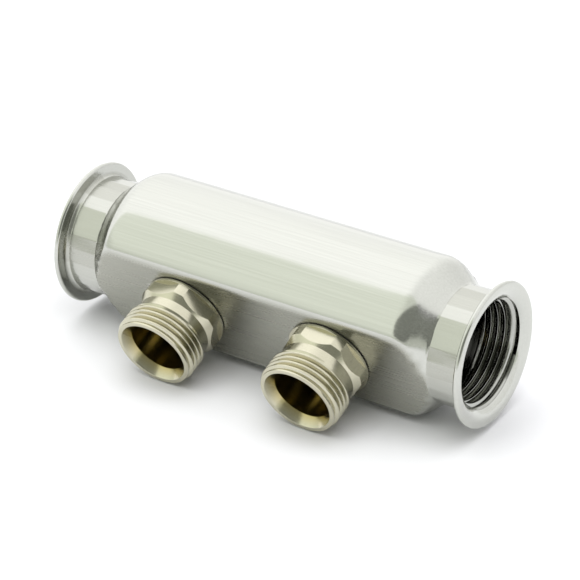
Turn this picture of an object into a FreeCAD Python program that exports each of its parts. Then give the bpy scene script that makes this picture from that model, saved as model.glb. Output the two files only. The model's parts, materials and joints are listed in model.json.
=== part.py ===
# Water distribution manifold: a formed stainless header with two screwed-in brass outlet nipples.
# The design frame has the header along X, its middle at the origin and the outlets pointing along -Y.
# The finished pieces are then turned about X and lifted, so that the manifold lies as it rests:
# on the round underside of the header and on the thread crests of its two outlets.
import FreeCAD, Part
import math
import os
import Sketcher
from FreeCAD import Placement, Rotation, Vector

dimensions = {
    # Header: a tube widened above and below between flats that carry on from its necks
    "header_length": 139.8,
    "body_radius": 23.7,
    "wall_thickness": 2.0,
    "flat_distance": 17.9,
    "flat_length": 122.0,
    "flat_corner_radius": 4.5,
    "shoulder_start": 47.6,
    "shoulder_radius": 8.0,
    "shoulder_angle": 42.3,
    "neck_radius": 17.75,
    # Flared lips and tapped ends
    "lip_radius": 21.8,
    "lip_thickness": 2.5,
    "lip_rear_fillet": 2.0,
    "lip_edge_radius": 1.1,
    "thread_bore_radius": 15.15,
    "mouth_rounding": 1.9,
    # Sockets drawn inwards from the flat
    "outlet_pitch": 50.0,
    "socket_radius": 11.05,
    "socket_collar_radius": 13.2,
    "socket_collar_depth": 3.6,
    # Seals
    "seal_thickness": 0.3,
    "seal_inner_radius": 11.1,
    "seal_outer_radius": 12.95,
    # Nipples, measured along their axis from the face that presses on the seal
    "shank_radius": 11.0,
    "shank_length": 5.8,
    "bar_radius": 13.1,
    "flange_thickness": 0.8,
    "across_flats": 24.2,
    "chamfer_start": 4.3,
    "relief_start": 6.25,
    "relief_radius": 11.55,
    "thread_start": 9.9,
    "lead_in_angle": 30.0,
    "thread_crest_radius": 12.7,
    "rim_radius": 12.0,
    "rim_front": 18.2,
    "nipple_bore_radius": 9.0,
    "seat_radius": 10.8,
    "seat_depth": 2.9,
    "flats_turn_left": 15.5,
    "flats_turn_right": 57.5,
}

document = FreeCAD.newDocument("water_manifold")
sheet = document.addObject("Spreadsheet::Sheet", "Dimensions")
for row, (alias, number) in enumerate(dimensions.items(), start=1):
    sheet.set(f"A{row}", alias)
    sheet.set(f"B{row}", str(number))
    sheet.setAlias(f"B{row}", alias)
document.recompute()


class Size:
    # A number with the sheet expression that gives it, so that a sketch can be drawn and bound at once.
    def __init__(self, number, text):
        self.number = number
        self.text = text

    def __add__(self, other):
        return Size(self.number + other.number, f"({self.text} + {other.text})")

    def __sub__(self, other):
        return Size(self.number - other.number, f"({self.text} - {other.text})")

    def __mul__(self, other):
        return Size(self.number * other.number, f"({self.text} * {other.text})")

    def __truediv__(self, other):
        return Size(self.number / other.number, f"({self.text} / {other.text})")

    def __neg__(self):
        return Size(-self.number, f"(-{self.text})")


def plain(number):
    return Size(number, str(number))


def sine(degrees):
    return Size(math.sin(math.radians(degrees.number)), f"sin({degrees.text} * 1 deg)")


def cosine(degrees):
    return Size(math.cos(math.radians(degrees.number)), f"cos({degrees.text} * 1 deg)")


size = {alias: Size(number, f"Dimensions.{alias}") for alias, number in dimensions.items()}
zero = plain(0.0)
end_face = size["header_length"] / plain(2)
half_pitch = size["outlet_pitch"] / plain(2)
hexagon_radius = size["across_flats"] / plain(math.sqrt(3))
lead_in_slope = sine(size["lead_in_angle"]) / cosine(size["lead_in_angle"])
h_axis, v_axis = -1, -2
start_point, end_point, center_point = 1, 2, 3
outlets = {"left": -half_pitch, "right": half_pitch}


def new_body(name):
    return document.addObject("PartDesign::Body", name)


def new_sketch(body, name, plane):
    sketch = body.newObject("Sketcher::SketchObject", name)
    planes = {feature.Role: feature for feature in body.Origin.OriginFeatures}
    sketch.AttachmentSupport = (planes[plane], "")
    sketch.MapMode = "FlatFace"
    return sketch


def constrain(sketch, rules):
    # Adds the rules in one go, so that the sketch is solved once. A rule with a size is bound to the sheet.
    first = len(sketch.Constraints)
    constraints = []
    for arguments, bound in rules:
        values = () if bound is None else (bound.number,)
        constraints.append(Sketcher.Constraint(*arguments, *values))
    sketch.addConstraint(constraints)
    for offset, (arguments, bound) in enumerate(rules):
        if bound is not None:
            sketch.setExpression(f"Constraints[{first + offset}]", bound.text)


def point_rules(geometry, point, across, up):
    # A coordinate that is zero puts the point on the axis; any other is bound to the sheet.
    rules = []
    for kind, axis, coordinate in (("DistanceX", v_axis, across), ("DistanceY", h_axis, up)):
        if coordinate is zero:
            rules.append((("PointOnObject", geometry, point, axis), None))
        else:
            rules.append(((kind, geometry, point), coordinate))
    return rules


def draw_loop(sketch, corners):
    # A closed outline. A corner is (across, up) with a straight line to the next, or has the centre of
    # an arc to the next as a third item, and then the next corner's height follows from that arc.
    count = len(corners)
    base = sketch.GeometryCount
    ends = [(start_point, end_point)] * count
    for index, corner in enumerate(corners):
        following = corners[(index + 1) % count]
        start = Vector(corner[0].number, corner[1].number, 0)
        end = Vector(following[0].number, following[1].number, 0)
        if len(corner) == 3:
            center = Vector(corner[2][0].number, corner[2][1].number, 0)
            outward = ((start - center) + (end - center)).normalize()
            middle = center + outward * (start - center).Length
            arc = sketch.addGeometry(Part.Arc(start, middle, end))
            if sketch.Geometry[arc].StartPoint.distanceToPoint(start) > 1e-6:
                ends[index] = (end_point, start_point)
        else:
            sketch.addGeometry(Part.LineSegment(start, end))
    rules = []
    for index, corner in enumerate(corners):
        before = (index - 1) % count
        leaving = base + index
        rules.append((("Coincident", base + before, ends[before][1], leaving, ends[index][0]), None))
        placed = point_rules(leaving, ends[index][0], corner[0], corner[1])
        rules += placed[:1] if len(corners[before]) == 3 else placed
        if len(corner) == 3:
            rules += point_rules(leaving, center_point, *corner[2])
    constrain(sketch, rules)


def turn(body, name, sketch, axis, kind="Revolution"):
    feature = body.newObject(f"PartDesign::{kind}", name)
    feature.Profile = sketch
    feature.ReferenceAxis = (sketch, [axis])
    feature.Angle = 360.0
    document.recompute()
    return feature


def circle_edges(feature, axis, radius, stations):
    # Names of the round edges of that radius whose centres stand at those places along the axis.
    names = []
    for number, edge in enumerate(feature.Shape.Edges, start=1):
        curve = edge.Curve
        if not isinstance(curve, Part.Circle) or abs(curve.Radius - radius.number) > 1e-4:
            continue
        if any(abs(curve.Center.dot(axis) - station) < 1e-4 for station in stations):
            names.append(f"Edge{number}")
    return names


def round_edges(body, name, base, edges, radius):
    feature = body.newObject("PartDesign::Fillet", name)
    feature.Base = (base, edges)
    feature.setExpression("Radius", radius.text)
    document.recompute()
    return feature


def both_ends(station):
    return (station.number, -station.number)


def mirrored_profile(half):
    # The corners of one end, from the axis inwards, followed by those of the other end.
    other = []
    for index in reversed(range(len(half))):
        corner = (-half[index][0], half[index][1])
        arcs = half[index - 1][2:] if index else ()
        other.append((*corner, *[(-center[0], center[1]) for center in arcs]))
    return half + other


def shoulder(arc_radius, neck_radius):
    # From the neck up a cone, then round an arc on to the wide part of the header.
    angle = size["shoulder_angle"]
    center = (size["shoulder_start"], size["body_radius"] - size["shoulder_radius"])
    arc_end_x = center[0] + arc_radius * sine(angle)
    arc_end_y = center[1] + arc_radius * cosine(angle)
    neck_x = arc_end_x + (arc_end_y - neck_radius) * cosine(angle) / sine(angle)
    return [
        (neck_x, neck_radius),
        (arc_end_x, arc_end_y, center),
        (center[0], center[1] + arc_radius),
    ]


def press_flats(body, name, distance, radius, corner_radius):
    # Presses the round wall flat in front and behind, with soft corners along the flats.
    sketch = new_sketch(body, f"{name}_section", "YZ_Plane")
    reach = size["body_radius"] * plain(1.5)
    for side in (1, -1):
        near, far = distance * plain(side), reach * plain(side)
        draw_loop(sketch, [(near, reach), (near, -reach), (far, -reach), (far, reach)])
    pocket = body.newObject("PartDesign::Pocket", name)
    pocket.Profile = sketch
    pocket.SideType = "Symmetric"
    pocket.setExpression("Length", size["flat_length"].text)
    document.recompute()
    return round_edges(body, f"{name}_corners", pocket, flat_edges(pocket, distance, radius), corner_radius)


def flat_edges(feature, distance, radius):
    # Names of the long straight edges where the flats meet the round wall.
    height = math.sqrt(radius.number ** 2 - distance.number ** 2)
    names = []
    for number, edge in enumerate(feature.Shape.Edges, start=1):
        middle = edge.BoundBox.Center
        if isinstance(edge.Curve, Part.Line) and edge.BoundBox.XLength > size["outlet_pitch"].number:
            if abs(abs(middle.y) - distance.number) < 1e-3 and abs(abs(middle.z) - height) < 1e-3:
                names.append(f"Edge{number}")
    return names


def header_outside():
    body = new_body("header_outside")
    sketch = new_sketch(body, "header_profile", "XY_Plane")
    lip_rear = end_face - size["lip_thickness"]
    neck = size["neck_radius"]
    lip = size["lip_radius"]
    draw_loop(sketch, mirrored_profile([
        (end_face, zero),
        (end_face, lip),
        (lip_rear, lip),
        (lip_rear, neck),
        *shoulder(size["shoulder_radius"], neck),
    ]))
    feature = turn(body, "header_blank", sketch, "H_Axis")
    for name, radius, station, rounding in (
        ("lip_rear_fillets", neck, lip_rear, "lip_rear_fillet"),
        ("lip_rear_edges", lip, lip_rear, "lip_edge_radius"),
        ("lip_front_edges", lip, end_face, "lip_edge_radius"),
    ):
        edges = circle_edges(feature, Vector(1, 0, 0), radius, both_ends(station))
        feature = round_edges(body, name, feature, edges, size[rounding])
    press_flats(body, "outer_flats", size["flat_distance"], size["body_radius"], size["flat_corner_radius"])
    return body


def header_inside():
    # The waterway and the tapped ends, which open through a rounded mouth.
    body = new_body("header_inside")
    sketch = new_sketch(body, "waterway_profile", "XY_Plane")
    wall = size["wall_thickness"]
    bore = size["thread_bore_radius"]
    mouth = size["mouth_rounding"]
    cap = bore + mouth + mouth
    draw_loop(sketch, mirrored_profile([
        (end_face + mouth, zero),
        (end_face + mouth, cap),
        (end_face, cap),
        (end_face, bore),
        *shoulder(size["shoulder_radius"] - wall, bore),
    ]))
    feature = turn(body, "waterway", sketch, "H_Axis")
    edges = circle_edges(feature, Vector(1, 0, 0), bore, both_ends(end_face))
    round_edges(body, "mouths", feature, edges, mouth)
    inner_distance = size["flat_distance"] - wall
    inner_radius = size["body_radius"] - wall
    inner_corner = size["flat_corner_radius"] - wall
    press_flats(body, "inner_flats", inner_distance, inner_radius, inner_corner)
    return body


def cylinder(name, radius, height, across, out):
    # A plain cylinder along the outlet axis, from its place on that axis outwards.
    tool = document.addObject("Part::Cylinder", name)
    tool.setExpression("Radius", radius.text)
    tool.setExpression("Height", height.text)
    tool.Placement = Placement(Vector(across.number, -out.number, 0), Rotation(Vector(1, 0, 0), 90))
    tool.setExpression("Placement.Base.x", across.text)
    tool.setExpression("Placement.Base.y", (-out).text)
    return tool


def boolean(kind, name, base, tools):
    feature = document.addObject(f"Part::{kind}", name)
    if kind == "MultiFuse":
        feature.Shapes = [base, *tools]
    else:
        feature.Base = base
        feature.Tool = tools[0]
    document.recompute()
    return feature


def header():
    shell = boolean("Cut", "header_shell", header_outside(), [header_inside()])
    collar_depth = size["socket_collar_depth"] + size["wall_thickness"] / plain(2)
    collar_start = size["flat_distance"] - size["wall_thickness"] - size["socket_collar_depth"]
    collar_radius = size["socket_collar_radius"]
    socket_radius = size["socket_radius"]
    collars = []
    sockets = []
    for side, across in outlets.items():
        collars.append(cylinder(f"collar_{side}", collar_radius, collar_depth, across, collar_start))
        sockets.append(cylinder(f"socket_{side}", socket_radius, size["body_radius"], across, zero))
    with_collars = boolean("MultiFuse", "header_with_collars", shell, collars)
    cut_tools = boolean("MultiFuse", "socket_tools", sockets[0], sockets[1:])
    return boolean("Cut", "manifold_body", with_collars, [cut_tools])


def draw_circle(sketch, radius, construction):
    circle = Part.Circle(Vector(0, 0, 0), Vector(0, 0, 1), radius.number)
    added = sketch.addGeometry(circle, construction)
    rules = [
        (("Coincident", added, center_point, h_axis, start_point), None),
        (("Radius", added), radius),
    ]
    return added, rules


def hexagon(sketch, corner_radius):
    # A regular hexagon on a construction circle, with its first corner on the sketch's first axis.
    corners = []
    for step in range(6):
        angle = math.radians(60 * step)
        corners.append(Vector(math.cos(angle), math.sin(angle), 0) * corner_radius.number)
    for start, end in zip(corners, corners[1:] + corners[:1]):
        sketch.addGeometry(Part.LineSegment(start, end))
    circle, rules = draw_circle(sketch, corner_radius, True)
    rules.append((("PointOnObject", 0, start_point, h_axis), None))
    for line in range(6):
        rules.append((("Coincident", line, end_point, (line + 1) % 6, start_point), None))
        rules.append((("PointOnObject", line, start_point, circle), None))
    for line in range(1, 6):
        rules.append((("Equal", 0, line), None))
    constrain(sketch, rules)


def nipple(side):
    # Turned from round bar: a shank for the socket, a flange, a relief and a coned male end.
    body = new_body(f"outlet_nipple_{side}")
    turned_sketch = new_sketch(body, f"turned_profile_{side}", "XZ_Plane")
    bar = size["bar_radius"]
    bore = size["nipple_bore_radius"]
    crest = size["thread_crest_radius"]
    lead_in = (crest - size["relief_radius"]) * lead_in_slope
    draw_loop(turned_sketch, [
        (bore, -size["shank_length"]),
        (size["shank_radius"], -size["shank_length"]),
        (size["shank_radius"], zero),
        (bar, zero),
        (bar, size["chamfer_start"]),
        (size["relief_radius"], size["relief_start"]),
        (size["relief_radius"], size["thread_start"]),
        (crest, size["thread_start"] + lead_in),
        (crest, size["rim_front"] - (crest - size["rim_radius"])),
        (size["rim_radius"], size["rim_front"]),
        (size["seat_radius"], size["rim_front"]),
        (bore, size["rim_front"] - size["seat_depth"]),
    ])
    turn(body, f"turned_{side}", turned_sketch, "V_Axis")

    # Six flats for a spanner, milled as far as the flange; the bar's own round is left at their corners.
    flats_sketch = new_sketch(body, f"flats_section_{side}", "XY_Plane")
    flats_sketch.setExpression("AttachmentOffset.Base.z", size["relief_start"].text)
    hexagon(flats_sketch, hexagon_radius)
    around, rules = draw_circle(flats_sketch, bar * plain(1.2), False)
    constrain(flats_sketch, rules)
    pocket = body.newObject("PartDesign::Pocket", f"flats_{side}")
    pocket.Profile = flats_sketch
    pocket.setExpression("Length", (size["relief_start"] - size["flange_thickness"]).text)
    document.recompute()
    return body


def seal(side):
    # A rubber ring, squeezed flat between the header and the nipple's flange.
    body = new_body(f"outlet_seal_{side}")
    sketch = new_sketch(body, f"seal_profile_{side}", "XZ_Plane")
    draw_loop(sketch, [
        (size["seal_inner_radius"], zero),
        (size["seal_outer_radius"], zero),
        (size["seal_outer_radius"], size["seal_thickness"]),
        (size["seal_inner_radius"], size["seal_thickness"]),
    ])
    turn(body, f"seal_ring_{side}", sketch, "V_Axis")
    return body


def rest_placement():
    # Turned until the lowest thread crests of the outlets are level with the header's underside,
    # then moved so that the middle of the whole part's footprint is at the origin.
    crest = dimensions["thread_crest_radius"]
    face = dimensions["flat_distance"] + dimensions["seal_thickness"]
    rim = face + dimensions["rim_front"]
    crest_end = rim - (crest - dimensions["rim_radius"])
    underside = dimensions["body_radius"]
    tilt = math.asin(underside / math.hypot(crest, crest_end)) - math.atan2(crest, crest_end)
    front = rim * math.cos(tilt) + dimensions["rim_radius"] * math.sin(tilt)
    middle = (dimensions["lip_radius"] - front) / 2
    print(f"rest tilt {math.degrees(tilt):.3f} deg, header axis at y {-middle:.3f} mm")
    return Placement(Vector(0, -middle, underside), Rotation(Vector(1, 0, 0), math.degrees(tilt)))


def outlet_placement(across, out, turn_angle):
    # From a piece drawn along Z to its place on an outlet, before the part is laid down.
    facing = Rotation(Vector(1, 0, 0), 90) * Rotation(Vector(0, 0, 1), turn_angle)
    return Placement(Vector(across.number, -out.number, 0), facing)


rest = rest_placement()
pieces = [header()]
pieces[0].Placement = rest
for side, across in outlets.items():
    ring = seal(side)
    ring.Placement = rest * outlet_placement(across, size["flat_distance"], 0)
    stub = nipple(side)
    seat = size["flat_distance"] + size["seal_thickness"]
    stub.Placement = rest * outlet_placement(across, seat, dimensions[f"flats_turn_{side}"])
    pieces += [ring, stub]
document.recompute()

for item in document.Objects:
    if "Invalid" in item.State or "Error" in item.State:
        raise RuntimeError(f"{item.Label} failed: {item.State}")
os.makedirs("parts", exist_ok=True)
for piece in pieces:
    shape = piece.Shape
    if shape.isNull() or not shape.isValid() or len(shape.Solids) != 1:
        raise RuntimeError(f"{piece.Label} is not one valid solid")
    shape.exportStep(f"parts/{piece.Label}.step")
    print(f"{piece.Label}: {shape.Volume / 1000:.2f} cm3")
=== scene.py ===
import json
import math
import random
import bmesh
import bpy
import numpy as np
from mathutils import Matrix, Vector


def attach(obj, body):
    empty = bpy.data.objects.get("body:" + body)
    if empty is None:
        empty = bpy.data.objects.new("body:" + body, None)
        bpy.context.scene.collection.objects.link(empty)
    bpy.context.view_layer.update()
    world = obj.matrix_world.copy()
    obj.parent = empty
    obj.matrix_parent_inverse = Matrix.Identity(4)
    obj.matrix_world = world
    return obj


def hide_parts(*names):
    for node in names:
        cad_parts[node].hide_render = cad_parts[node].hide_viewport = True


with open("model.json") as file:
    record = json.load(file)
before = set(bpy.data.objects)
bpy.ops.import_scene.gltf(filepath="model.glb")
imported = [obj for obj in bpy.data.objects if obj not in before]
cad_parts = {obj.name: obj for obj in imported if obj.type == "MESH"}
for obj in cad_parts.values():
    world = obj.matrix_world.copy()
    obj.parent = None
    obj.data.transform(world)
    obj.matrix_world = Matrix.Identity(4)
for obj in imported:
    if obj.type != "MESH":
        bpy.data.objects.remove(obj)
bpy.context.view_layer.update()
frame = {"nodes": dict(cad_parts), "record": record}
mm = 0.001
mergeDistance = 1e-4  # in millimetres
straightAngle = math.radians(89.5)  # half of a corner this open counts as no corner
mounts = {mount["name"]: mount for mount in frame["record"]["mounts"]}
outletAxis = Vector(mounts["outlet_thread_right"]["axis"]).normalized()
headerAxis = Vector((1, 0, 0))
headerMiddle = Vector((0, *mounts["end_thread_right"]["pos_m"][1:]))
outletAcross = {side: mounts[f"outlet_thread_{side}"]["pos_m"][0] for side in ("left", "right")}
print("frame loaded:", ", ".join(sorted(frame["nodes"])))


# Small tools for nodes, colours and meshes

def addNode(tree, kind, inputs=None, **settings):
    node = tree.nodes.new(kind)
    for key, value in settings.items():
        setattr(node, key, value)
    for key, value in (inputs or {}).items():
        if isinstance(value, bpy.types.NodeSocket):
            tree.links.new(value, node.inputs[key])
        else:
            node.inputs[key].default_value = value
    return node


def linearColour(hexText):
    channels = [int(hexText[start:start + 2], 16) / 255 for start in (1, 3, 5)]
    return (*[c / 12.92 if c <= 0.04045 else ((c + 0.055) / 1.055) ** 2.4 for c in channels], 1.0)


def newMaterial(name):
    material = bpy.data.materials.new(name)
    material.use_nodes = True
    tree = material.node_tree
    return material, tree, tree.nodes["Principled BSDF"]


def roundedPath(corners, arcStep=9.0):
    # corners are (radius, along, rounding); each rounding becomes an arc of short chords
    path = [np.array(corners[0][:2], float)]
    for before, corner, after in zip(corners, corners[1:], corners[2:]):
        here = np.array(corner[:2], float)
        toBefore = np.array(before[:2], float) - here
        toAfter = np.array(after[:2], float) - here
        toBefore /= np.linalg.norm(toBefore)
        toAfter /= np.linalg.norm(toAfter)
        halfAngle = math.acos(np.clip(toBefore @ toAfter, -1, 1)) / 2
        rounding = corner[2]
        if rounding == 0 or halfAngle > straightAngle:
            path.append(here)
            continue
        inward = (toBefore + toAfter) / np.linalg.norm(toBefore + toAfter)
        center = here + inward * rounding / math.sin(halfAngle)
        start = here + toBefore * rounding / math.tan(halfAngle) - center
        end = here + toAfter * rounding / math.tan(halfAngle) - center
        sweep = math.atan2(start[0] * end[1] - start[1] * end[0], start @ end)
        steps = max(2, math.ceil(abs(math.degrees(sweep)) / arcStep))
        for step in range(steps + 1):
            turn = sweep * step / steps
            path.append(center + [start[0] * math.cos(turn) - start[1] * math.sin(turn),
                                  start[0] * math.sin(turn) + start[1] * math.cos(turn)])
    path.append(np.array(corners[-1][:2], float))
    return np.array(path)


def subdivided(path, step):
    # splits each run so that no piece of it is longer than the step
    points = [path[0]]
    for start, end in zip(path, path[1:]):
        pieces = max(1, math.ceil(np.linalg.norm(end - start) / step))
        points += [start + (end - start) * piece / pieces for piece in range(1, pieces + 1)]
    return np.array(points)


def latheMesh(name, rows):
    # rows is an array of rings (ring, angle, xyz), closed both ways, in millimetres
    rings, angles = rows.shape[:2]
    index = np.arange(rings * angles).reshape(rings, angles)
    nextAngle = np.roll(index, -1, axis=1)
    quads = np.stack([index, nextAngle, np.roll(nextAngle, -1, axis=0), np.roll(index, -1, axis=0)], axis=-1)
    mesh = bpy.data.meshes.new(name)
    mesh.from_pydata(rows.reshape(-1, 3).tolist(), [], quads.reshape(-1, 4).tolist())
    return mesh


def addObject(name, mesh):
    piece = bpy.data.objects.new(name, mesh)
    bpy.context.scene.collection.objects.link(piece)
    return piece


def applied(piece):
    # the mesh that the modifiers give, with the modifiers then removed
    bpy.context.view_layer.update()
    graph = bpy.context.evaluated_depsgraph_get()
    mesh = bpy.data.meshes.new_from_object(piece.evaluated_get(graph), depsgraph=graph)
    piece.modifiers.clear()
    piece.data = mesh
    return mesh


def finishMesh(mesh, place, sharpAngle):
    # outward faces, place taken into the mesh, smooth except at sharp edges
    work = bmesh.new()
    work.from_mesh(mesh)
    bmesh.ops.remove_doubles(work, verts=work.verts, dist=mergeDistance)
    bmesh.ops.recalc_face_normals(work, faces=work.faces)
    work.to_mesh(mesh)
    work.free()
    mesh.transform(place @ Matrix.Scale(mm, 4))
    mesh.shade_smooth()
    mesh.set_sharp_from_angle(angle=math.radians(sharpAngle))


# Pipe thread: a ridge swept along a right-handed spiral, standing on a plain wall at its root

def threadTree():
    tree = bpy.data.node_groups.new("pipeThread", "GeometryNodeTree")
    tree.interface.new_socket("Geometry", in_out="INPUT", socket_type="NodeSocketGeometry")
    for name in ("Pitch", "Start", "Length", "Inner Radius", "Outer Radius", "Inner Width", "Outer Width",
                 "Edge Rounding", "Base Radius", "Run-Out", "Run-Out Power", "Painted Shade"):
        tree.interface.new_socket(name, in_out="INPUT", socket_type="NodeSocketFloat")
    tree.interface.new_socket("Material", in_out="INPUT", socket_type="NodeSocketMaterial")
    tree.interface.new_socket("Geometry", in_out="OUTPUT", socket_type="NodeSocketGeometry")
    given = addNode(tree, "NodeGroupInput").outputs

    def maths(operation, first, second):
        return addNode(tree, "ShaderNodeMath", {0: first, 1: second}, operation=operation).outputs[0]

    turns = maths("DIVIDE", given["Length"], given["Pitch"])
    spiral = addNode(tree, "GeometryNodeCurveSpiral", {
        "Resolution": 120, "Rotations": turns, "Start Radius": given["Inner Radius"],
        "End Radius": given["Inner Radius"], "Height": given["Length"], "Reverse": True,
    }).outputs[0]
    upright = addNode(tree, "GeometryNodeSetCurveNormal", {0: spiral}, mode="Z_UP").outputs[0]
    # the ridge's section: across the axis in X, along it in Y
    depth = maths("SUBTRACT", given["Outer Radius"], given["Inner Radius"])
    innerHalf = maths("MULTIPLY", given["Inner Width"], 0.5)
    outerHalf = maths("MULTIPLY", given["Outer Width"], 0.5)
    corners = {}
    section = ((0.0, innerHalf, -1.0), (depth, outerHalf, -1.0),
               (depth, outerHalf, 1.0), (0.0, innerHalf, 1.0))
    for number, (across, half, side) in enumerate(section, 1):
        corners[f"Point {number}"] = addNode(tree, "ShaderNodeCombineXYZ", {
            "X": across, "Y": maths("MULTIPLY", half, side),
        }).outputs[0]
    outline = addNode(tree, "GeometryNodeCurvePrimitiveQuadrilateral", corners, mode="POINTS").outputs[0]
    softened = addNode(tree, "GeometryNodeFilletCurve", {
        "Curve": outline, "Count": 5, "Radius": given["Edge Rounding"], "Limit Radius": True,
    }, mode="POLY").outputs[0]
    swept = addNode(tree, "GeometryNodeCurveToMesh", {
        "Curve": upright, "Profile Curve": softened, "Fill Caps": True,
    }).outputs[0]
    lift = addNode(tree, "ShaderNodeCombineXYZ", {"Z": given["Start"]}).outputs[0]
    ridge = addNode(tree, "GeometryNodeTransform", {"Geometry": swept, "Translation": lift}).outputs[0]
    # the ridge sinks into the wall at both of its ends
    place = addNode(tree, "GeometryNodeInputPosition").outputs[0]
    split = addNode(tree, "ShaderNodeSeparateXYZ", {0: place}).outputs
    flat = addNode(tree, "ShaderNodeCombineXYZ", {0: split[0], 1: split[1]}).outputs[0]
    radius = addNode(tree, "ShaderNodeVectorMath", {0: flat}, operation="LENGTH").outputs["Value"]
    fromStart = maths("SUBTRACT", split[2], given["Start"])
    toEnd = maths("SUBTRACT", given["Length"], fromStart)
    nearest = maths("MINIMUM", fromStart, toEnd)
    sunk = addNode(tree, "ShaderNodeMapRange", {
        "Value": nearest, "From Max": given["Run-Out"], "To Min": 1.0, "To Max": 0.0,
    }).outputs[0]
    shown = maths("SUBTRACT", 1.0, maths("POWER", sunk, given["Run-Out Power"]))
    standing = maths("MULTIPLY", maths("SUBTRACT", radius, given["Base Radius"]), shown)
    ratio = maths("DIVIDE", maths("ADD", given["Base Radius"], standing), radius)
    scaled = addNode(tree, "ShaderNodeVectorMath", {0: flat, "Scale": ratio}, operation="SCALE").outputs[0]
    last = maths("ADD", given["Start"], given["Length"])
    held = maths("MAXIMUM", given["Start"], maths("MINIMUM", split[2], last))
    height = addNode(tree, "ShaderNodeCombineXYZ", {2: held}).outputs[0]
    moved = addNode(tree, "ShaderNodeVectorMath", {0: scaled, 1: height}).outputs[0]
    trimmed = addNode(tree, "GeometryNodeSetPosition", {"Geometry": ridge, "Position": moved}).outputs[0]
    # painted shade level for the ridge (dark down the header's bore); the nipples' ridges get none, and there
    # the same attribute marks bare brass
    marked = addNode(tree, "GeometryNodeStoreNamedAttribute", {
        "Geometry": trimmed, "Name": "paintedShadeAndBareBrass", "Value": given["Painted Shade"],
    }, data_type="FLOAT", domain="POINT").outputs[0]
    joined = addNode(tree, "GeometryNodeJoinGeometry", {0: given["Geometry"]})
    tree.links.new(marked, joined.inputs[0])
    realized = addNode(tree, "GeometryNodeRealizeInstances", {0: joined.outputs[0]}).outputs[0]
    surfaced = addNode(tree, "GeometryNodeSetMaterial", {
        "Geometry": realized, "Material": given["Material"],
    }).outputs[0]
    addNode(tree, "NodeGroupOutput", {0: surfaced})
    return tree


def cutThread(piece, tree, sizes, material):
    modifier = piece.modifiers.new("thread", "NODES")
    modifier.node_group = tree
    values = {**sizes, "Material": material}
    for item in tree.interface.items_tree:
        if item.in_out == "INPUT" and item.name in values:
            modifier[item.identifier] = values[item.name]
    return applied(piece)


# Materials

def stainlessSteel():
    # drawn and formed tube: bright, with faint streaks along the draw; painted shade makes it dark down the
    # bore and behind the lips, and darker on the flats
    material, tree, shader = newMaterial("drawnStainlessSteel")
    streakWidth, streakLength, swellSize = 0.45 * mm, 45 * mm, 9 * mm
    coordinates = addNode(tree, "ShaderNodeTexCoord").outputs["Object"]
    paintedShadeAndBareBrass = addNode(tree, "ShaderNodeAttribute", attribute_name="paintedShadeAndBareBrass").outputs["Fac"]
    flatShadeAndFacetMatt = addNode(tree, "ShaderNodeAttribute", attribute_name="flatShadeAndFacetMatt").outputs["Fac"]
    stretched = addNode(tree, "ShaderNodeMapping", {
        "Vector": coordinates, "Scale": (1 / streakLength, 1 / streakWidth, 1 / streakWidth),
    }).outputs[0]
    streaks = addNode(tree, "ShaderNodeTexNoise", {
        "Vector": stretched, "Scale": 1.0, "Detail": 3.0, "Roughness": 0.6,
    }).outputs["Fac"]
    swell = addNode(tree, "ShaderNodeTexNoise", {
        "Vector": coordinates, "Scale": 1 / swellSize, "Detail": 2.0,
    }).outputs["Fac"]
    bright = addNode(tree, "ShaderNodeMix", {
        "A": linearColour("#BABBB4"), "B": linearColour("#CFD0CA"),
    }, data_type="RGBA")
    tree.links.new(streaks, bright.inputs["Factor"])
    # painted shade: darkened towards this near-black down the bore, on the mouth thread and in the fillet
    # behind each lip
    colour = addNode(tree, "ShaderNodeMix", {"B": linearColour("#4A4A45")}, data_type="RGBA")
    tree.links.new(paintedShadeAndBareBrass, colour.inputs["Factor"])
    # painted shade: the flats are darkened, standing in for the shadowed floor they mirror; on the necks the
    # same mix gives each facet its own random tone
    flatShadeAndFacetTone = addNode(tree, "ShaderNodeMix", {"B": linearColour("#A0A096")}, data_type="RGBA")
    tree.links.new(flatShadeAndFacetMatt, flatShadeAndFacetTone.inputs["Factor"])
    tree.links.new(bright.outputs["Result"], flatShadeAndFacetTone.inputs["A"])
    tree.links.new(flatShadeAndFacetTone.outputs["Result"], colour.inputs["A"])
    polish = addNode(tree, "ShaderNodeMapRange", {
        "Value": streaks, "From Min": 0.3, "From Max": 0.7, "To Min": 0.1, "To Max": 0.2,
    }).outputs[0]
    roughness = addNode(tree, "ShaderNodeMath", {
        0: flatShadeAndFacetMatt, 1: 0.16, 2: polish,
    }, operation="MULTIPLY_ADD").outputs[0]
    fine = addNode(tree, "ShaderNodeBump", {
        "Height": streaks, "Strength": 0.12, "Distance": 0.02 * mm,
    }).outputs[0]
    broad = addNode(tree, "ShaderNodeBump", {
        "Height": swell, "Strength": 0.2, "Distance": 0.2 * mm, "Normal": fine,
    }).outputs[0]
    tree.links.new(colour.outputs["Result"], shader.inputs["Base Color"])
    tree.links.new(roughness, shader.inputs["Roughness"])
    tree.links.new(broad, shader.inputs["Normal"])
    shader.inputs["Metallic"].default_value = 1.0
    return material


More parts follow.
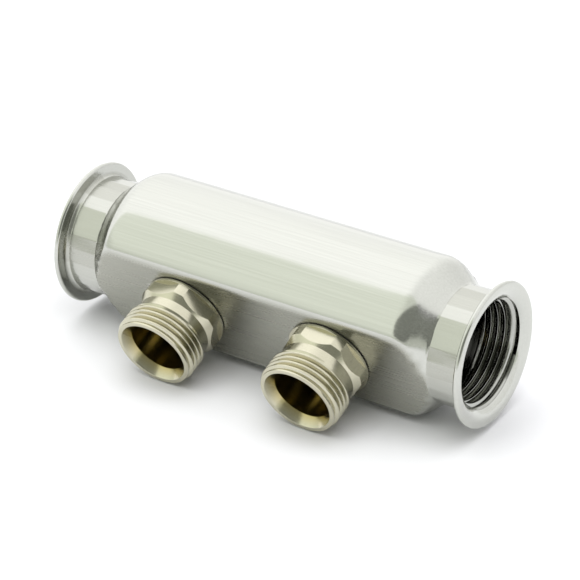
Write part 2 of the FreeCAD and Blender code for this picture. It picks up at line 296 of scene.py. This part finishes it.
def platedBrass():
    # turned brass under thin nickel: pale champagne with faint turning lines, brassy down the bore
    material, tree, shader = newMaterial("nickelPlatedBrass")
    lineWidth, grainSize = 0.22 * mm, 0.35 * mm
    turning = addNode(tree, "ShaderNodeUVMap", uv_map="turning").outputs[0]
    paintedShadeAndBareBrass = addNode(tree, "ShaderNodeAttribute", attribute_name="paintedShadeAndBareBrass").outputs["Fac"]
    coordinates = addNode(tree, "ShaderNodeTexCoord").outputs["Object"]
    rings = addNode(tree, "ShaderNodeMapping", {
        "Vector": turning, "Scale": (0.02 / lineWidth, 1 / lineWidth, 1),
    }).outputs[0]
    lines = addNode(tree, "ShaderNodeTexNoise", {
        "Vector": rings, "Scale": 1.0, "Detail": 2.0,
    }).outputs["Fac"]
    grain = addNode(tree, "ShaderNodeTexNoise", {
        "Vector": coordinates, "Scale": 1 / grainSize, "Detail": 2.0,
    }).outputs["Fac"]
    plate = addNode(tree, "ShaderNodeMix", {
        "A": linearColour("#BFBCA6"), "B": linearColour("#CDC9B5"),
    }, data_type="RGBA")
    tree.links.new(grain, plate.inputs["Factor"])
    colour = addNode(tree, "ShaderNodeMix", {"B": linearColour("#B4A671")}, data_type="RGBA")
    tree.links.new(paintedShadeAndBareBrass, colour.inputs["Factor"])
    tree.links.new(plate.outputs["Result"], colour.inputs["A"])
    roughness = addNode(tree, "ShaderNodeMapRange", {
        "Value": lines, "From Min": 0.3, "From Max": 0.7, "To Min": 0.16, "To Max": 0.26,
    }).outputs[0]
    lineBump = addNode(tree, "ShaderNodeBump", {
        "Height": lines, "Strength": 0.06, "Distance": 0.02 * mm,
    }).outputs[0]
    tree.links.new(colour.outputs["Result"], shader.inputs["Base Color"])
    tree.links.new(roughness, shader.inputs["Roughness"])
    tree.links.new(lineBump, shader.inputs["Normal"])
    shader.inputs["Metallic"].default_value = 1.0
    return material


def sealRubber():
    # moulded black rubber, matt and slightly mottled
    material, tree, shader = newMaterial("blackSealRubber")
    grainSize = 0.4 * mm
    coordinates = addNode(tree, "ShaderNodeTexCoord").outputs["Object"]
    grain = addNode(tree, "ShaderNodeTexNoise", {
        "Vector": coordinates, "Scale": 1 / grainSize, "Detail": 2.0,
    }).outputs["Fac"]
    colour = addNode(tree, "ShaderNodeMix", {
        "A": linearColour("#0B0B0A"), "B": linearColour("#1D1C1A"),
    }, data_type="RGBA")
    tree.links.new(grain, colour.inputs["Factor"])
    tree.links.new(colour.outputs["Result"], shader.inputs["Base Color"])
    shader.inputs["Roughness"].default_value = 0.6
    return material


# The header: one formed tube with flats, shoulders, necks, flared lips and tapped ends

header = {
    "bodyRadius": 23.7, "wall": 2.0, "flatDistance": 17.9, "flatCorner": 4.5, "insideFlatEnd": 54.5,
    "shoulderStart": 47.6, "shoulderRounding": 8.0, "shoulderAngle": 42.3, "creaseRounding": 1.6,
    "neckRadius": 17.75, "neckStart": 57.5, "neckFacets": 25, "facetDepth": 0.2, "facetSeed": 7,
    "facetSpread": (0.5, 1.0), "facetMatt": (0.0, 0.7), "facetReach": 0.05,
    "endFace": 69.9, "lipRadius": 21.8, "lipThickness": 1.7, "lipFillet": 1.5, "lipRounding": 0.84,
    "lipMiddle": 20.8, "boreCorner": 0.4, "mouthRounding": 5.3, "mouthSteps": 12, "mouthBright": 68.0,
    # painted shade: the flats' darkening, the thread roots' level and the crevice darkness behind the lips
    "flatMattAndShade": 0.9, "flatFade": 0.8, "rootShade": 0.3,
    "creviceShade": 0.12, "creviceWidth": 1.5, "creviceFoot": 0.3, "creviceLap": 0.1,
    "angles": 240, "cornerAngles": 10, "outerStep": 5.0, "innerStep": 4.0, "sharpAngle": 30,
    "socketRadius": 11.05, "collarRadius": 13.2, "collarDepth": 3.6, "collarOverlap": 1.0, "socketSides": 128,
}
mouthThread = {
    "pitch": 2.309, "crest": 15.15, "root": 16.62, "buried": 0.12, "crestWidth": 0.8, "rootWidth": 2.05,
    # the ridge's last value is painted shade, darkening it down the bore
    "edge": 0.14, "start": 55.9, "length": 12.4, "runOut": 3.7, "runOutPower": 2.2, "paintedShadeAndBareBrass": 0.25,
}


def flattened(radius, angles, distance, corner):
    # the section of a round wall pressed flat at both sides, with its corners rounded
    folded = np.abs((angles + math.pi / 2) % math.pi - math.pi / 2)
    if radius <= distance:
        return np.full_like(angles, radius)
    cornerX = distance - corner
    cornerY = math.sqrt((radius - corner) ** 2 - cornerX ** 2)
    along = cornerX * np.cos(folded) + cornerY * np.sin(folded)
    rounded = along + np.sqrt(np.maximum(along ** 2 - (cornerX ** 2 + cornerY ** 2 - corner ** 2), 0))
    onFlat = folded < math.atan2(cornerY, distance)
    onRound = folded > math.atan2(cornerY, cornerX)
    return np.where(onFlat, distance / np.cos(folded), np.where(onRound, radius, rounded))


def headerPath(radius, rounding, neck, neckRounding, mouth):
    # one wall's path from the middle of the left lip to that of the right one
    angle = math.radians(header["shoulderAngle"])
    shoulder = header["shoulderStart"] + rounding * math.tan(angle / 2)
    neckStart = shoulder + (radius - neck) / math.tan(angle)
    right = [(radius, shoulder, rounding), (neck, neckStart, neckRounding), *mouth]
    left = [(corner[0], -corner[1], corner[2]) for corner in reversed(right)]
    return roundedPath(left + right)


def neckFacets(angles):
    # lengthwise facets that the forming tool leaves on the necks: how deep and how matt each angle is
    draw = random.Random(header["facetSeed"])
    count = header["neckFacets"]
    depths = np.array([draw.uniform(*header["facetSpread"]) for facet in range(count)])
    matts = np.array([draw.uniform(*header["facetMatt"]) for facet in range(count)])
    place = (angles / (2 * math.pi) * count) % count
    facet = place.astype(int) % count
    inFacet = place % 1 - 0.5
    return header["facetDepth"] * depths[facet] * (1 - (2 * inFacet) ** 2), matts[facet]


def headerAngles():
    # even steps round the header, with extra ones where the flats turn into the round wall
    even = np.arange(header["angles"]) / header["angles"] * 2 * math.pi
    cornerX = header["flatDistance"] - header["flatCorner"]
    cornerY = math.sqrt((header["bodyRadius"] - header["flatCorner"]) ** 2 - cornerX ** 2)
    low, high = math.atan2(cornerY, header["flatDistance"]), math.atan2(cornerY, cornerX)
    corner = np.linspace(low, high, header["cornerAngles"])
    extra = np.concatenate([corner, math.pi - corner, math.pi + corner, 2 * math.pi - corner])
    return np.unique(np.round(np.concatenate([even, extra]), 5))


def shadeBehindLip(radius, along):
    # painted shade: the fillet behind each lip is darkened, where the lip shades it
    fromLip = header["endFace"] - header["lipThickness"] - along
    aboveNeck = radius - header["neckRadius"] > header["creviceFoot"]
    behindLip = -header["creviceLap"] < fromLip < header["creviceWidth"]
    return header["creviceShade"] if aboveNeck and behindLip else 0.0


def shadeInBore(along):
    # painted shade: dark down the bore, brighter in the thread's roots, bright on the rounding of the mouth
    if along > header["mouthBright"]:
        return 0.0
    return header["rootShade"] if along > mouthThread["start"] else 1.0


def headerRows():
    size = header
    lipRear = size["endFace"] - size["lipThickness"]
    outerMouth = [
        (size["neckRadius"], lipRear, size["lipFillet"]),
        (size["lipRadius"], lipRear, size["lipRounding"]),
        (size["lipRadius"], size["endFace"], size["lipRounding"]),
        (size["lipMiddle"], size["endFace"], 0),
    ]
    # the mouth's rounding starts at the thread's crests and meets its roots part of the way
    rounding = size["mouthRounding"]
    meets = math.acos((mouthThread["crest"] + rounding - mouthThread["root"]) / rounding)
    innerMouth = [
        (mouthThread["crest"] + rounding * (1 - math.cos(turn)),
         size["endFace"] + rounding * (math.sin(turn) - 1), 0)
        for turn in np.linspace(meets, math.pi / 2, size["mouthSteps"])
    ] + [(size["lipMiddle"], size["endFace"], 0)]
    outer = headerPath(size["bodyRadius"], size["shoulderRounding"], size["neckRadius"],
                       size["creaseRounding"], outerMouth)
    inner = headerPath(size["bodyRadius"] - size["wall"], size["shoulderRounding"] - size["wall"],
                       mouthThread["root"], size["boreCorner"], innerMouth)
    outer = subdivided(outer, size["outerStep"])
    inner = subdivided(inner, size["innerStep"])[::-1][1:-1]
    angles = headerAngles()
    facets, matts = neckFacets(angles)
    rows = []
    for radius, along in outer:
        ring = np.full_like(angles, radius)
        if abs(along) < lipRear - size["lipFillet"]:
            ring = flattened(radius, angles, size["flatDistance"], size["flatCorner"])
            if radius < size["neckRadius"] + size["facetReach"]:
                ring = ring - facets
        rows.append((ring, along))
    for radius, along in inner:
        ring = np.full_like(angles, radius)
        if abs(along) < size["insideFlatEnd"]:
            ring = flattened(radius, angles, size["flatDistance"] - size["wall"],
                             size["flatCorner"] - size["wall"])
        rows.append((ring, along))
    points = [np.stack([ring * np.cos(angles), ring * np.sin(angles), np.full_like(angles, along)], -1)
              for ring, along in rows]
    paintedShade = [shadeBehindLip(radius, abs(along)) for radius, along in outer]
    paintedShade += [shadeInBore(abs(along)) for radius, along in inner]
    return np.array(points), np.array(paintedShade), matts


def rodAlongX(name, radius, low, high, along):
    # a plain cylinder across the header, used to add a collar or cut a socket
    work = bmesh.new()
    turned = Matrix.Translation(((low + high) / 2, 0, along)) @ Matrix.Rotation(math.pi / 2, 4, "Y")
    bmesh.ops.create_cone(work, cap_ends=True, segments=header["socketSides"], radius1=radius, radius2=radius,
                          depth=high - low, matrix=turned)
    mesh = bpy.data.meshes.new(name)
    work.to_mesh(mesh)
    work.free()
    return addObject(name, mesh)


def buildHeader(tree, material):
    rows, paintedShade, matts = headerRows()
    mesh = latheMesh("headerTube", rows)
    # painted shade down the bore, in the thread's roots and behind the lips
    paintedShadeAndBareBrass = mesh.attributes.new("paintedShadeAndBareBrass", "FLOAT", "POINT")
    paintedShadeAndBareBrass.data.foreach_set("value", np.repeat(paintedShade, rows.shape[1]))
    flatShadeAndFacetMatt = mesh.attributes.new("flatShadeAndFacetMatt", "FLOAT", "POINT")
    along = np.abs(rows[:, :, 2])
    # matt and painted darker on the flats, as painted shade for the shadowed floor they mirror, fading out
    # over their rounded corners; the neck facets get random matt and tone
    onFlat = np.clip((np.abs(rows[:, :, 0]) - header["flatDistance"]) / header["flatFade"] + 1, 0, 1)
    onNeck = (along > header["neckStart"]) & (along < header["endFace"] - header["lipThickness"])
    onBody = along < header["neckStart"]
    flatShadeAndFacetMatt.data.foreach_set("value", (header["flatMattAndShade"] * onFlat * onBody + matts * onNeck).ravel())
    piece = addObject("headerTube", mesh)
    inside = header["flatDistance"] - header["wall"]
    tools = []
    for across in outletAcross.values():
        collar = rodAlongX("collar", header["collarRadius"], inside - header["collarDepth"],
                           inside + header["collarOverlap"], across / mm)
        socket = rodAlongX("socket", header["socketRadius"], 0.0, header["bodyRadius"], across / mm)
        tools += [(collar, "UNION"), (socket, "DIFFERENCE")]
    for tool, operation in tools:
        modifier = piece.modifiers.new(tool.name, "BOOLEAN")
        modifier.object = tool
        modifier.operation = operation
        modifier.solver = "EXACT"
    applied(piece)
    for tool, operation in tools:
        bpy.data.objects.remove(tool)
    size = mouthThread
    for start in (size["start"], -size["start"] - size["length"]):
        mesh = cutThread(piece, tree, {
            "Pitch": size["pitch"], "Start": start, "Length": size["length"], "Inner Radius": size["crest"],
            "Outer Radius": size["root"] + size["buried"], "Inner Width": size["crestWidth"],
            "Outer Width": size["rootWidth"], "Edge Rounding": size["edge"],
            "Base Radius": size["root"] + size["buried"], "Run-Out": size["runOut"],
            "Run-Out Power": size["runOutPower"], "Painted Shade": size["paintedShadeAndBareBrass"],
        }, material)
    side = headerAxis.cross(outletAxis)
    place = Matrix((outletAxis, side, headerAxis)).transposed().to_4x4()
    place.translation = headerMiddle
    finishMesh(mesh, place, header["sharpAngle"])
    mesh.materials.clear()
    mesh.materials.append(material)
    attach(piece, "root")
    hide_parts("manifold_body")
    print("header tube:", len(mesh.polygons), "faces")


# The outlets: nipples turned from round bar with six flats, each on a flat rubber seal

nipple = {
    "seat": 18.2, "shankRadius": 11.0, "shankLength": 5.8, "boreRadius": 9.0, "shankChamfer": 0.5,
    "barRadius": 13.1, "flangeThickness": 0.8, "halfFlats": 12.1, "flatHalfAngle": 22.5, "chamferStart": 4.3,
    "reliefStart": 6.25, "reliefRadius": 11.55, "rimStart": 17.1, "rimRadius": 12.0, "rimFront": 18.2,
    "seatRadius": 10.8, "seatDepth": 2.9, "edge": 0.12, "platingFade": 0.25,
    "arcStep": 12.0, "angles": 480, "sharpAngle": 18, "flatsTurn": {"left": 15.5, "right": 57.5},
}
nippleThread = {
    "pitch": 1.814, "crest": 12.7, "root": 11.55, "buried": 0.1, "crestWidth": 0.36, "rootWidth": 1.66,
    "edge": 0.08, "start": 9.05, "length": 9.05, "runOut": 1.3, "runOutPower": 1.0,
}
seal = {"inner": 11.1, "outer": 12.95, "thickness": 0.3, "angles": 180, "sharpAngle": 30}


def flatRadius(angle):
    # distance from the axis to the six flats or, at their corners, to the round bar
    sixth = math.pi / 3
    fromFlat = abs(angle % sixth - sixth / 2)
    return nipple["halfFlats"] / math.cos(min(fromFlat, math.radians(nipple["flatHalfAngle"])))


def nippleCorners(angle):
    size = nipple
    edge = size["edge"]
    across = flatRadius(angle)
    slope = (size["reliefStart"] - size["chamferStart"]) / (size["barRadius"] - size["reliefRadius"])
    chamferAt = size["chamferStart"] + (size["barRadius"] - across) * slope
    return [
        (size["boreRadius"] + size["shankChamfer"], -size["shankLength"], 0),
        (size["shankRadius"], -size["shankLength"], edge),
        (size["shankRadius"], 0, 0),
        (size["barRadius"], 0, edge),
        (size["barRadius"], size["flangeThickness"], edge / 4),
        (across, size["flangeThickness"], 0),
        (across, chamferAt, edge),
        (size["reliefRadius"], size["reliefStart"], 0),
        (size["reliefRadius"], size["rimStart"], 0),
        (size["rimRadius"], size["rimStart"] + size["rimRadius"] - size["reliefRadius"], edge),
        (size["rimRadius"], size["rimFront"], edge),
        (size["seatRadius"], size["rimFront"], edge),
        (size["boreRadius"], size["rimFront"] - size["seatDepth"], edge),
        (size["boreRadius"], -size["shankLength"], edge),
        (size["boreRadius"] + size["shankChamfer"], -size["shankLength"], 0),
    ]


def nipplePath(angle):
    # the same number of points at every angle, so that the paths join into rings
    corners = nippleCorners(angle)
    path = []
    for index, corner in enumerate(corners[:-1]):
        if corner[2] == 0:
            path.append(np.array(corner[:2], float))
        else:
            path += list(roundedPath(corners[index - 1:index + 2], nipple["arcStep"])[1:-1])
    return np.array(path)


def paintNipple(mesh, paths):
    # turning lines run round the axis, and the plating thins out down the bore
    angles = len(paths)
    lengths = np.concatenate([[0], np.cumsum(np.linalg.norm(np.diff(paths[0], axis=0), axis=1))]) * mm
    around = np.arange(angles) / angles * 2 * math.pi * nipple["barRadius"] * mm
    layer = mesh.uv_layers.new(name="turning")
    loops = np.zeros(len(mesh.loops), int)
    mesh.loops.foreach_get("vertex_index", loops)
    layer.data.foreach_set("uv", np.stack([around[loops % angles], lengths[loops // angles]], -1).ravel())
    paintedShadeAndBareBrass = mesh.attributes.new("paintedShadeAndBareBrass", "FLOAT", "POINT")
    fromBore = paths[:, :, 0].T - nipple["boreRadius"]
    inBore = np.clip(1 - fromBore / nipple["platingFade"], 0, 1)
    paintedShadeAndBareBrass.data.foreach_set("value", inBore.ravel())


def outletPlace(out, side, turn=0.0):
    # from a piece drawn along Z to its place on an outlet
    place = Matrix((headerAxis, outletAxis.cross(headerAxis), outletAxis)).transposed().to_4x4()
    place = place @ Matrix.Rotation(math.radians(turn), 4, "Z")
    place.translation = headerMiddle + outletAxis * out * mm + headerAxis * outletAcross[side]
    return place


def buildNipple(side, tree, material):
    name = f"outletNipple{side.capitalize()}"
    angles = np.arange(nipple["angles"]) / nipple["angles"] * 2 * math.pi
    paths = np.array([nipplePath(angle) for angle in angles])
    radii, heights = paths[:, :, 0].T, paths[:, :, 1].T
    mesh = latheMesh(name, np.stack([radii * np.cos(angles), radii * np.sin(angles), heights], -1))
    paintNipple(mesh, paths)
    piece = addObject(name, mesh)
    size = nippleThread
    mesh = cutThread(piece, tree, {
        "Pitch": size["pitch"], "Start": size["start"], "Length": size["length"],
        "Inner Radius": size["root"] - size["buried"], "Outer Radius": size["crest"],
        "Inner Width": size["rootWidth"], "Outer Width": size["crestWidth"], "Edge Rounding": size["edge"],
        "Base Radius": size["root"] - size["buried"], "Run-Out": size["runOut"],
        "Run-Out Power": size["runOutPower"],
    }, material)
    finishMesh(mesh, outletPlace(nipple["seat"], side, nipple["flatsTurn"][side]), nipple["sharpAngle"])
    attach(piece, "root")
    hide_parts(f"outlet_nipple_{side}")
    print(name, len(mesh.polygons), "faces")


def buildSeal(side, material):
    section = [(seal["inner"], 0), (seal["outer"], 0),
               (seal["outer"], seal["thickness"]), (seal["inner"], seal["thickness"])]
    angles = np.arange(seal["angles"]) / seal["angles"] * 2 * math.pi
    rows = np.array([
        np.stack([radius * np.cos(angles), radius * np.sin(angles), np.full_like(angles, along)], -1)
        for radius, along in section
    ])
    name = f"outletSeal{side.capitalize()}"
    mesh = latheMesh(name, rows)
    piece = addObject(name, mesh)
    finishMesh(mesh, outletPlace(header["flatDistance"], side), seal["sharpAngle"])
    mesh.materials.append(material)
    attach(piece, "root")
    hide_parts(f"outlet_seal_{side}")


# The studio: pale floor, a room that is bright behind, dimmer in front and to the right, with one dark area

studio = {
    "floorSize": 8.0, "floorColour": "#E0E0E3",
    "lightSize": (1.1, 1.1), "lightPlace": (0.1, -0.3, 1.1), "lightPower": 9.5,
    "backColour": "#FFFFFF", "backRise": (0.2, 0.8), "backLow": 1.42, "backHigh": 1.62,
    "frontColour": "#FBFFF4", "frontEdge": (-0.26, -0.18), "frontRise": (0.1, 0.42), "frontLow": 0.95,
    "frontLevel": 1.23, "rightEdge": (-0.42, 0.2), "rightLevel": 0.8,
    "darkPlace": (0.472, -0.726, 0.5), "darkStretch": (1.0, 1.0, 1.9), "darkReach": (0.68, 0.78),
    "darkLevel": 0.32,
}
view = {
    "azimuth": 33.029, "elevation": 28.346, "roll": 0.174, "distance": 891.34,
    "target": (9.8, -14.388, 9.725), "outletTilt": 20.341,
    "focalPixels": 3105.75, "imagePixels": 580, "sensor": 36.0,
}


def buildFloor():
    work = bmesh.new()
    bmesh.ops.create_grid(work, x_segments=1, y_segments=1, size=studio["floorSize"] / 2)
    mesh = bpy.data.meshes.new("studioFloor")
    work.to_mesh(mesh)
    work.free()
    floor = addObject("studioFloor", mesh)
    material, tree, shader = newMaterial("whitePaper")
    shader.inputs["Base Color"].default_value = linearColour(studio["floorColour"])
    shader.inputs["Roughness"].default_value = 0.9
    mesh.materials.append(material)


def buildLight():
    data = bpy.data.lights.new("softbox", "AREA")
    data.shape = "RECTANGLE"
    data.size, data.size_y = studio["lightSize"]
    data.energy = studio["lightPower"]
    light = bpy.data.objects.new("softbox", data)
    light.location = studio["lightPlace"]
    light.rotation_euler = Vector(studio["lightPlace"]).to_track_quat("Z", "Y").to_euler()
    # it lights the floor and the seals: in the metal only the room is mirrored, as in a light tent
    light.visible_glossy = False
    bpy.context.scene.collection.objects.link(light)


def buildRoom():
    world = bpy.data.worlds.new("studioRoom")
    world.use_nodes = True
    bpy.context.scene.world = world
    tree = world.node_tree
    background = tree.nodes["Background"]
    direction = addNode(tree, "ShaderNodeTexCoord").outputs["Generated"]
    x, y, z = addNode(tree, "ShaderNodeSeparateXYZ", {0: direction}).outputs

    def ramp(value, low, high, start=0.0, end=1.0):
        return addNode(tree, "ShaderNodeMapRange", {
            "Value": value, "From Min": low, "From Max": high, "To Min": start, "To Max": end,
        }, interpolation_type="SMOOTHSTEP").outputs[0]

    def blend(factor, first, second):
        return addNode(tree, "ShaderNodeMix", {0: factor, 2: first, 3: second}).outputs[0]

    def product(first, second):
        return addNode(tree, "ShaderNodeMath", {0: first, 1: second}, operation="MULTIPLY").outputs[0]

    behind = ramp(y, *studio["frontEdge"])
    back = ramp(z, *studio["backRise"], studio["backLow"], studio["backHigh"])
    front = ramp(z, *studio["frontRise"], studio["frontLow"], studio["frontLevel"])
    level = blend(behind, front, back)
    level = product(level, ramp(x, *studio["rightEdge"], 1.0, studio["rightLevel"]))
    offset = addNode(tree, "ShaderNodeVectorMath", {
        0: direction, 1: studio["darkPlace"],
    }, operation="SUBTRACT").outputs[0]
    stretched = addNode(tree, "ShaderNodeVectorMath", {
        0: offset, 1: studio["darkStretch"],
    }, operation="MULTIPLY").outputs[0]
    away = addNode(tree, "ShaderNodeVectorMath", {0: stretched}, operation="LENGTH").outputs["Value"]
    level = product(level, ramp(away, *studio["darkReach"], studio["darkLevel"], 1.0))
    colour = addNode(tree, "ShaderNodeMix", {
        "A": linearColour(studio["frontColour"]), "B": linearColour(studio["backColour"]),
    }, data_type="RGBA")
    tree.links.new(behind, colour.inputs["Factor"])
    tree.links.new(colour.outputs["Result"], background.inputs["Color"])
    tree.links.new(level, background.inputs["Strength"])


def buildCamera():
    azimuth, elevation, roll = (math.radians(view[key]) for key in ("azimuth", "elevation", "roll"))
    back = Vector((math.sin(azimuth) * math.cos(elevation), -math.cos(azimuth) * math.cos(elevation),
                   math.sin(elevation)))
    right = Vector((math.cos(azimuth), math.sin(azimuth), 0))
    up = back.cross(right)
    rightTurned = right * math.cos(roll) + up * math.sin(roll)
    upTurned = up * math.cos(roll) - right * math.sin(roll)
    place = Matrix((rightTurned, upTurned, back)).transposed().to_4x4()
    place.translation = (Vector(view["target"]) + back * view["distance"]) * mm
    # the view was measured about the header's axis, with the outlets at their own tilt
    tilt = math.atan2(-outletAxis.z, -outletAxis.y) - math.radians(view["outletTilt"])
    settle = Matrix.Translation(headerMiddle) @ Matrix.Rotation(tilt, 4, "X")
    data = bpy.data.cameras.new("camera")
    data.sensor_width = view["sensor"]
    data.lens = view["focalPixels"] / view["imagePixels"] * view["sensor"]
    camera = bpy.data.objects.new("camera", data)
    camera.matrix_world = settle @ place
    bpy.context.scene.collection.objects.link(camera)
    bpy.context.scene.camera = camera


thread = threadTree()
buildHeader(thread, stainlessSteel())
brass = platedBrass()
rubber = sealRubber()
for side in outletAcross:
    buildNipple(side, thread, brass)
    buildSeal(side, rubber)
print("pieces built")
buildFloor()
buildLight()
buildRoom()
buildCamera()
bpy.context.scene.view_settings.view_transform = "Standard"
print("studio set")
bpy.context.view_layer.update()
